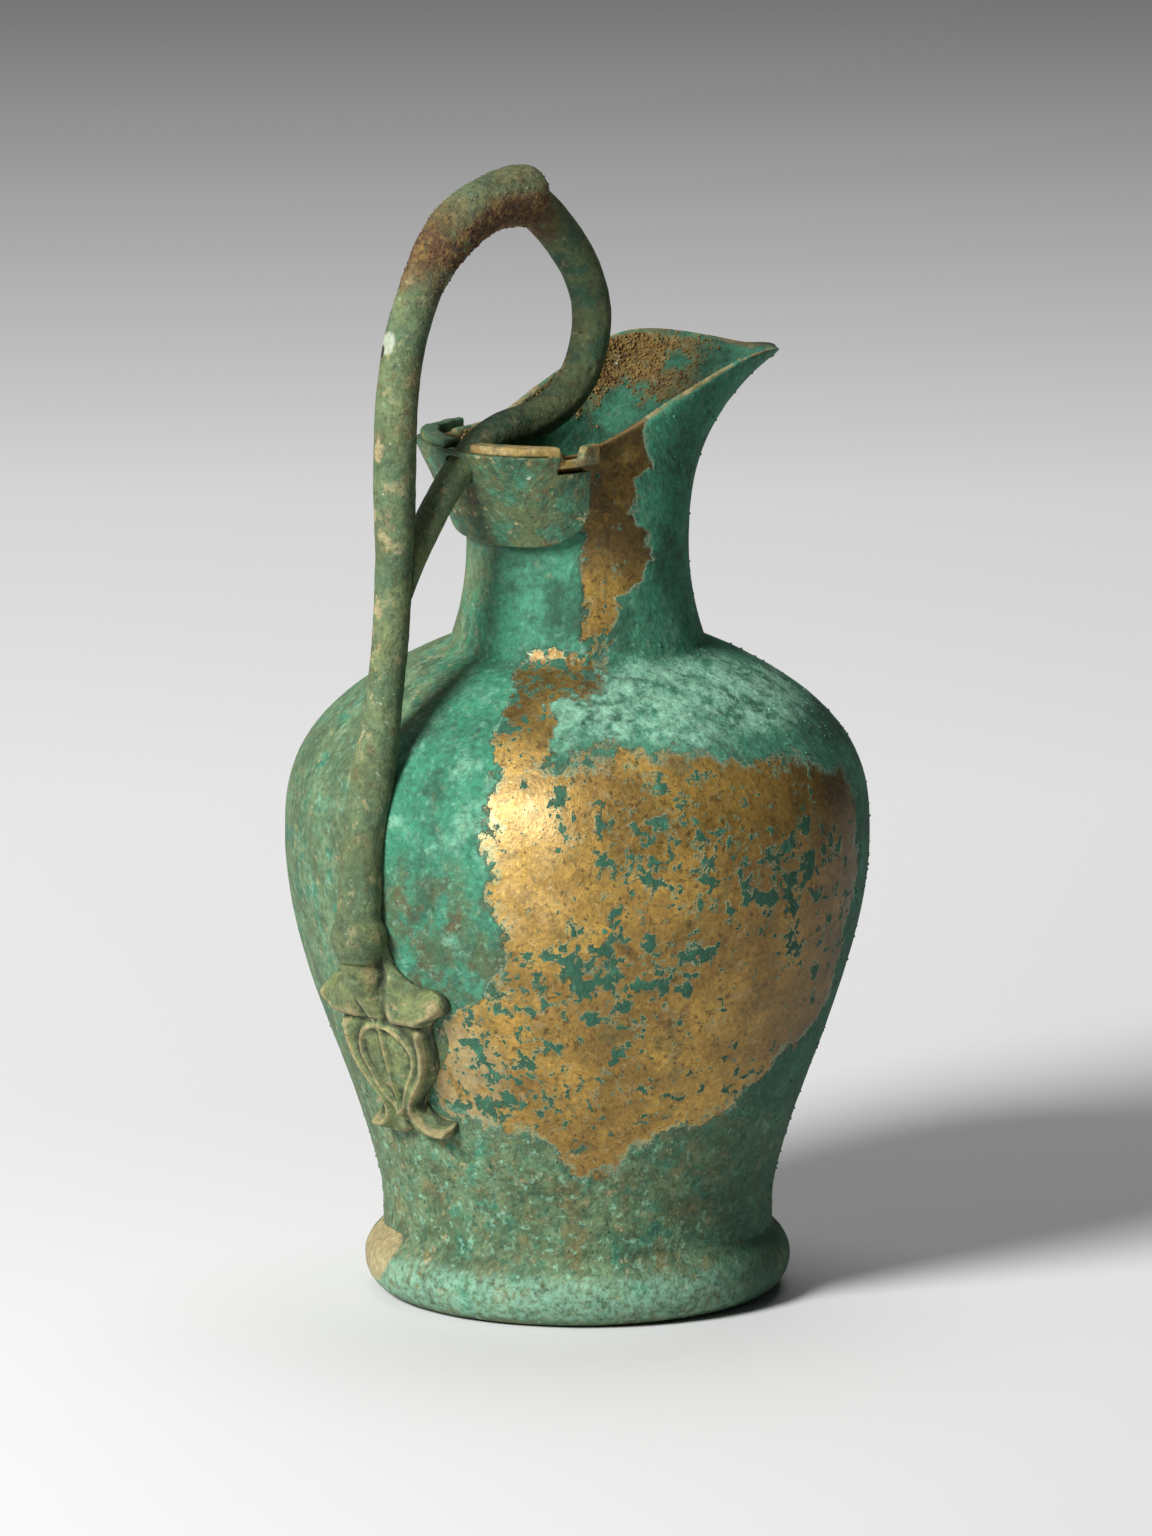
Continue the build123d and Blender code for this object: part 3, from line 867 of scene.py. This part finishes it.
def pushed_out(piece, material, relief):
    """Moves a piece's surface along its normals by a field of the place, and gives it its material."""

    def push(shape, place, depth):
        offset = shape.add("GeometryNodeInputNormal", {}).scaled(relief(place) * depth)
        return shape.add("GeometryNodeSetPosition", {"Geometry": shape, "Offset": offset})

    remade(piece, "relief", material, push, {"Depth": MM})


def new_material(name, finish):
    """Material from a finish: its colour, metal share, roughness and height of surface, if it has one."""
    material = bpy.data.materials.new(name)
    material.use_nodes = True
    tree = material.node_tree
    shader = tree.nodes["Principled BSDF"]
    start = tree.nodes.new("ShaderNodeTexCoord")
    place = Field(tree, start.outputs["Object"]).scaled(1 / MM)
    colour, metal, roughness, height = finish(place)
    fill(tree, shader.inputs["Base Color"], colour)
    fill(tree, shader.inputs["Metallic"], metal)
    fill(tree, shader.inputs["Roughness"], roughness)
    if height is not None:
        bump = {"Height": height, "Distance": MM, "Strength": 1.0}
        fill(tree, shader.inputs["Normal"], place.add("ShaderNodeBump", bump, output="Normal"))
    return material


def mottled(place, base, layers):
    """Blotches of further colours over a base: each with its size, noise limits and share."""
    colour = base
    for k, (layer, size, low, high, share) in enumerate(layers):
        spots = place.shifted((31.0 * k, 17.0 * k, 47.0 * k)).noise(size, detail=7.0, roughness=0.66)
        colour = (spots.step(low, high) * share).mix(colour, layer)
    return colour


def grained(place, colour, size, depth):
    """Light and dark grain over a colour."""
    grain = place.noise(size, detail=6.0, roughness=0.72).step(0.3, 0.7)
    broad = place.noise(size * 7, detail=4.0).step(0.3, 0.7)
    shade = (grain * 2 - 1) * depth + (broad - 0.5) * depth + 1
    return place.add("ShaderNodeVectorMath", {0: colour, 3: shade}, operation="SCALE")


def vessel_crust(place, angle, height, pale, bright):
    """Green corrosion of the wall: emerald in front, sage on the handle's side, speckled near the foot, and
    painted shade in deep green low on the side away from the lamp.
    """
    away = angle * -1
    left = (away + (place.noise(18) - 0.5) * 30).step(38, 54) * away.step(175, 150)
    low = (height + (place.noise(12) - 0.5) * 26).step(60, 42)
    murk = patch(angle, height, *murky_patch).step(-0.4, 0.5)
    # Painted shade: the lower wall and foot on the side away from the lamp
    painted_shade = angle.step(22, 62) * angle.step(120, 96) * height.step(128, 92)
    colour = mottled(place, emerald, [
        (deep_green, 18, 0.48, 0.62, 0.85 - bright * 0.5),
        (deep_green, 6, 0.46, 0.60, 0.6 - bright * 0.15),
        (sage, 5, 0.34, 0.54, left * 0.9),
        (moss, 8, 0.42, 0.58, (left * 0.65).most(low * 0.8).most(murk)),
        (bright_green, 5, 0.34, 0.56, bright * (1 - murk * 0.7) * 0.7),
        (pale_green, 13, 0.52, 0.66, bright * height.step(176, 160) * 0.45),
        (deep_green, 10, 0.52, 0.64, bright * 0.7),
        (rust, 6, 0.50, 0.62, murk * 0.6),
        (pale_green, 4.5, 0.36, 0.58, pale * 0.9),
        (sage, 6, 0.42, 0.56, low * 0.8),
        (brown, 9, 0.50, 0.62, low * 0.45),
        (moss, 4, 0.48, 0.60, low * 0.7),
        (tan, 3.2, 0.58, 0.68, 0.15 + left * 0.4 + low * 0.4),
        (pale_green, 2.2, 0.54, 0.66, 0.3 + low * 0.3 - height.step(160, 176) * 0.2),
        (deep_green, 1.7, 0.54, 0.66, 0.5 + low * 0.25),
        (chalk, 1.3, 0.66, 0.74, 0.5),
        # Painted shade laid on in deep green
        (deep_green, 12, 0.26, 0.50, painted_shade * 0.8),
    ])
    return grained(place, colour, 1.6, 0.3)


def vessel_metal(place):
    """Bare bronze: golden to brown in clouds, with dark stains and pits, a painted highlight in pale gold,
    and painted shade in brown on the neck and on the side away from the lamp.
    """
    angle, height = around(place)
    pale = patch(angle, height, *tan_patch).step(-0.3, 0.6)
    # Painted highlight on the bare bronze
    painted_highlight = patch(angle, height, *highlight_patch).step(-0.3, 0.8)
    # Painted shade on the neck and on the side away from the lamp, with a dull patch on the shoulder
    dull_and_shade = height.step(172, 190).most(angle.step(42, 70) * 0.9)
    dull_and_shade = dull_and_shade.most(patch(angle, height, *dull_patch).step(-0.2, 0.5) * 0.6)
    colour = mottled(place.wander(10, 3), golden, [
        (brown, 24, 0.40, 0.60, 0.75),
        (brown, 5, 0.46, 0.64, 0.45),
        (moss, 9, 0.54, 0.68, 0.45),
        (dark_brown, 8, 0.56, 0.70, 0.55),
        (dark_brown, 1.6, 0.55, 0.64, 0.75),
        (dark_brown, 0.8, 0.58, 0.66, 0.6),
        (tan, 3.5, 0.56, 0.68, 0.6),
        (tan, 6, 0.36, 0.54, pale * 0.8),
        (highlight_gold, 9, 0.36, 0.62, painted_highlight * 0.3),
        # Painted shade: brown on the side away from the lamp
        (brown, 14, 0.26, 0.50, angle.step(18, 60) * 0.65),
        (dark_brown, 14, 0.30, 0.52, dull_and_shade * 0.75),
    ])
    return grained(place, colour, 1.2, 0.25)


def soil_colour(place):
    """Ochre earth, light and dark."""
    return mottled(place, earth, [
        (tan, 3, 0.52, 0.64, 0.45),
        (rust, 2.2, 0.48, 0.60, 0.75),
        (chalk, 4, 0.62, 0.72, 0.5),
    ])


def soil_finish(place):
    """Grains of earth stuck inside the mouth."""
    grain = place.noise(0.8)
    return soil_colour(place), 0.0, 0.85 + grain * 0.1, grain * 0.3


def vessel_finish(place):
    """Bare bronze and green crust outside, a brown and tan lip, and earth over the crust in the mouth."""
    angle, height = around(place)
    inner = place.own("inner")
    inside = inner.step(0.6, 0.9)
    lip = inner.step(0.15, 0.35) * (1 - inside)
    bare, halo, islands, pale, bright = vessel_masks(place)
    bare = bare * (1 - inside)
    crust = vessel_crust(place, angle, height, pale, bright)
    crust = (islands * place.noise(4).step(0.28, 0.50) * 0.8).mix(crust, deep_green)
    colour = bare.mix(crust, vessel_metal(place))
    colour = (halo * place.noise(6).step(0.36, 0.5) * (1 - inside) * 0.45).mix(colour, pale_green)
    colour = soil_share(place).mix(colour, soil_colour(place))
    colour = (lip * place.noise(7).step(0.40, 0.54) * 0.7).mix(colour, brown)
    colour = (lip * place.noise(3).step(0.50, 0.6) * 0.45).mix(colour, tan)
    colour = (beak_tip(place, 61.5, 65) * 0.85).mix(colour, soot)
    grain = place.noise(2.0, detail=6.0, roughness=0.68)
    pits = place.noise(1.3, detail=4.0, roughness=0.7)
    roughness = 0.80 - bare * 0.34 + (grain - 0.5) * 0.3
    relief = grain * (1 - bare) * 0.7 + pits * bare * 0.22 + (1 - bare) * 0.25
    return colour, bare * 0.5, roughness, relief


def handle_finish(place):
    """Olive crust with tan blotches on the handle and a rough rusty crust over its top; more tan on the side
    towards the lamp as painted light, and painted shade in dark green and soot towards the mouth.
    """
    cloud = handle_cloud(place)
    top = rust_share(place)
    # Painted shade: more dark green and soot, less pale crust, on the handle towards the mouth
    mouthward_shade = (place.axis("X") + cloud * 14).step(-40, -22) * (1 - top)
    # Painted light: more tan on the side of the handle towards the lamp
    painted_light_side = place.axis("Y").step(-4.5, 1.5)
    colour = mottled(place, olive, [
        (sage, 14, 0.40, 0.58, 0.55 - mouthward_shade * 0.4),
        (lichen, 8, 0.50, 0.64, 0.5 - mouthward_shade * 0.4),
        (deep_green, 9, 0.46, 0.62, 0.4 + mouthward_shade * 0.45),
        (tan, 5, 0.54, 0.64, 0.3 - mouthward_shade * 0.2 + painted_light_side * 0.5),
        (rust, 4, 0.56, 0.66, 0.45),
        (soot, 1.7, 0.53, 0.65, 0.45 + mouthward_shade * 0.25),
        (chalk, 1.2, 0.62, 0.70, 0.5),
        (rust, 5, 0.30, 0.46, top),
        (earth, 2.6, 0.48, 0.60, top * 0.75),
        (soot, 2.2, 0.54, 0.64, top * 0.7),
    ])
    chip = (place.far(chip_place) + cloud * 5).step(3.5, 2.5)
    colour = (chip * 0.55).mix(colour, chalk)
    colour = (place.far(chip_core) + cloud * 4).step(2.2, 1.4).mix(colour, soot)
    grain = place.noise(1.8, detail=6.0, roughness=0.68)
    relief = grain * (0.7 + top * 0.8) + cloud * 0.3 - chip * 0.5
    return grained(place, colour, 1.5, 0.25), 0.0, 0.78 + (grain - 0.5) * 0.2, relief


def arm_finish(place):
    """Tan to olive strips on the rim, the far one darkened with deep green as painted shade."""
    # Painted shade on the far strip
    painted_light_side = place.axis("Y").step(-4, 4)
    colour = mottled(place, olive, [
        (golden, 6, 0.40, 0.54, 0.6),
        (tan, 4, 0.46, 0.58, 0.6),
        (deep_green, 4, 0.50, 0.62, 0.7),
        (brown, 3, 0.46, 0.60, 0.7),
        (deep_green, 5, 0.26, 0.46, painted_light_side * 0.9),
        (soot, 1.8, 0.56, 0.66, 0.6),
    ])
    grain = place.noise(1.5, detail=6.0, roughness=0.66)
    return grained(place, colour, 1.4, 0.2), 0.0, 0.66 + (grain - 0.5) * 0.2, grain * 0.4


def leaf_finish(place):
    """Dull yellowish green crust of the plaque, with a painted highlight in tan on its ridges and painted
    shade in soot in its hollows.
    """
    colour = mottled(place, olive, [
        (lichen, 8, 0.40, 0.56, 0.85),
        (sage, 5, 0.50, 0.62, 0.6),
        (deep_green, 4, 0.54, 0.66, 0.5),
        (tan, 4, 0.56, 0.66, 0.6),
        (soot, 1.8, 0.58, 0.68, 0.5),
        (chalk, 2.4, 0.62, 0.72, 0.5),
    ])
    grain = place.noise(1.7, detail=6.0, roughness=0.66)
    # Painted highlight in tan on ridges and painted shade in soot in hollows
    ridge_shading = place.own("ridge_shading") + (grain - 0.5) * 0.5
    colour = (ridge_shading.step(0.05, 0.45) * 0.55).mix(colour, tan)
    colour = (ridge_shading.step(-0.08, -0.40) * 0.75).mix(colour, soot)
    return grained(place, colour, 1.5, 0.3), 0.0, 0.76 + (grain - 0.5) * 0.2, grain * 0.7


def collar_finish(place):
    """Dark teal and olive crust of the collar plate, with tan and chalky flecks."""
    colour = mottled(place, olive, [
        (deep_green, 9, 0.42, 0.56, 0.8),
        (emerald, 6, 0.50, 0.62, 0.6),
        (rust, 5, 0.54, 0.66, 0.6),
        (tan, 3, 0.58, 0.68, 0.7),
        (soot, 2.0, 0.56, 0.66, 0.5),
        (chalk, 1.8, 0.62, 0.70, 0.7),
    ])
    grain = place.noise(1.7, detail=6.0, roughness=0.66)
    return grained(place, colour, 1.5, 0.3), 0.0, 0.74 + (grain - 0.5) * 0.2, grain * 0.6


def foot_finish(place):
    """The wall's crust carried on over the foot, paler on its edge towards the lamp, which is pale crust and
    a painted highlight, with a tan patch near the handle.
    """
    angle, height = around(place)
    pale, bright = vessel_masks(place)[3:]
    colour = vessel_crust(place, angle, height, pale, bright)
    # Pale speckle on the foot's edge, fading away from the lamp: pale crust and a painted highlight
    edge = height.step(15, 10) * height.step(1.0, 3.0) * angle.step(62, 30)
    speckle = place.noise(1.8, detail=7.0, roughness=0.66).step(0.34, 0.64)
    colour = (speckle * edge * 0.75).mix(colour, pale_green)
    bare_angle, bare_height = around(place.wander(6, 2))
    worn = patch(bare_angle, bare_height, *foot_patch).step(-0.1, 0.2)
    colour = (worn * 0.85).mix(colour, grained(place, tan[:3], 1.6, 0.3))
    grain = place.noise(2.0, detail=6.0, roughness=0.68)
    return colour, 0.0, 0.78 + (grain - 0.5) * 0.2, grain * 0.8


def solder_finish(place):
    """Grey solder under a dull green crust."""
    grain = place.noise(1.5, detail=5.0)
    colour = mottled(place, moss, [
        (lead, 4, 0.54, 0.64, 0.4),
        (tan, 3, 0.52, 0.64, 0.5),
        (soot, 3, 0.50, 0.62, 0.5),
    ])
    return colour, 0.0, 0.75 + grain * 0.1, grain * 0.4


def floor_finish(place):
    """Paper painted palest about a metre behind the jug and darker nearer and beyond, as painted fall of
    light.
    """
    behind = (place.axis("X") + place.axis("Y")) * math.sqrt(0.5)
    return behind.graded(floor_painted_falloff), 0.0, floor_roughness, None


def dressed(piece, slot, *nodes):
    """Fixes a piece to the jug in place of CAD nodes."""
    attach(piece, "root")
    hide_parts(*nodes)


def add_skin(name, node, voxel, softening, material, relief, slot):
    """Worn copy of a CAD solid with its relief and material, in place of the solid."""
    piece = worn_copy(name, node, voxel, softening)
    pushed_out(piece, material, relief)
    dressed(piece, slot, node)
    return piece


def aimed(thing, place, target):
    """Puts a lamp or the camera at a place, looking at a target."""
    thing.location = place
    thing.rotation_mode = "QUATERNION"
    thing.rotation_quaternion = (target - place).to_track_quat("-Z", "Y")


def add_light(name, place, target, width, power):
    """Round soft lamp."""
    light = bpy.data.lights.new(name, "AREA")
    light.shape = "DISK"
    light.size = width
    light.energy = power
    aimed(new_object(name, light), place, target)


# Materials
vessel_material = new_material("vessel_patina", vessel_finish)
foot_material = new_material("foot_patina", foot_finish)
collar_material = new_material("collar_patina", collar_finish)
leaf_material = new_material("leaf_patina", leaf_finish)
arm_material = new_material("arm_patina", arm_finish)
handle_material = new_material("handle_patina", handle_finish)
soil_material = new_material("mouth_soil", soil_finish)
solder_material = new_material("grey_solder", solder_finish)

# Wall, with earth in the mouth and lumps of crust
vessel = vessel_mesh()
pushed_out(vessel, vessel_material, vessel_relief)
dressed(vessel, "body_bronze", "vessel_body")
grains = scattered("mouth_grains", vessel, soil_material, soil_share, mouth_grain_lumps)
dressed(grains, "body_bronze", "vessel_body")
lumps = scattered("wall_lumps", vessel, vessel_material, lump_share, wall_crust_lumps)
dressed(lumps, "body_bronze", "vessel_body")

# Foot, collar and handle: worn copies of their solids, and rusty grains on the stem
add_skin("foot_skin", "foot_ring", 0.5, 12, foot_material, foot_relief, "foot_bronze")
add_skin("collar_skin", "collar_plate", 0.3, 10, collar_material, plain_relief, "fittings_bronze")
stem = add_skin("stem_skin", "handle_stem", 0.34, 3, handle_material, stem_relief, "handle_bronze")
crust = scattered("stem_crust", stem, handle_material, rust_share, stem_crust_lumps)
dressed(crust, "handle_bronze", "handle_stem")
add_skin("loop_skin", "handle_loop", 0.36, 30, handle_material, plain_relief, "handle_bronze")

# Rim arms and leaf plaque, shaped here
for name, side in (("left", 1), ("right", -1)):
    arm = arm_mesh("arm_skin_" + name, side, notch_depths[name])
    pushed_out(arm, arm_material, plain_relief)
    dressed(arm, "fittings_bronze", "rim_arm_" + name)

leaf = leaf_mesh()
pushed_out(leaf, leaf_material, plain_relief)
dressed(leaf, "fittings_bronze", "leaf_plaque")

# Solids that are seen as they are
plain_nodes = {
    "base_disc": foot_material,
    "foot_solder": solder_material,
    "collar_solder": solder_material,
    "leaf_solder": solder_material,
}
for node, material in plain_nodes.items():
    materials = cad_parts[node].data.materials
    materials.clear()
    materials.append(material)

# Floor, light and camera
toward_camera = Vector((math.cos(camera_turn), math.sin(camera_turn), 0))
to_right = Vector((-math.sin(camera_turn), math.cos(camera_turn), 0))
up = Vector((0, 0, 1))
aim = up * aim_height - to_right * aim_shift

corners = [(x * floor_half, y * floor_half, 0) for x, y in ((-1, -1), (1, -1), (1, 1), (-1, 1))]
floor = mesh_piece("floor", corners, [(0, 1, 2, 3)])
floor.data.materials.append(new_material("floor_paper", floor_finish))

jug_middle = up * jug_middle_height
key_side = toward_camera * math.cos(key_turn) - to_right * math.sin(key_turn)
key_place = jug_middle + key_side * key_reach + up * key_rise
add_light("key", key_place, jug_middle, key_width, key_power)
overhead_place = jug_middle + up * overhead_rise - toward_camera * overhead_back
overhead_aim = jug_middle - toward_camera * overhead_aim_back
add_light("overhead", overhead_place, overhead_aim, overhead_width, overhead_power)

world = bpy.data.worlds.new("studio")
world.use_nodes = True
room = world.node_tree.nodes["Background"]
room.inputs["Color"].default_value = room_colour
room.inputs["Strength"].default_value = room_strength
bpy.context.scene.world = world

lens = bpy.data.cameras.new("photo_view")
lens.lens = camera_lens
lens.sensor_width = 36
lens.clip_end = 50
camera = new_object("photo_view", lens)
toward_lens = toward_camera * math.cos(camera_rise) + up * math.sin(camera_rise)
aimed(camera, aim + toward_lens * camera_distance, aim)
bpy.context.scene.camera = camera
bpy.context.scene.view_settings.view_transform = "Standard"
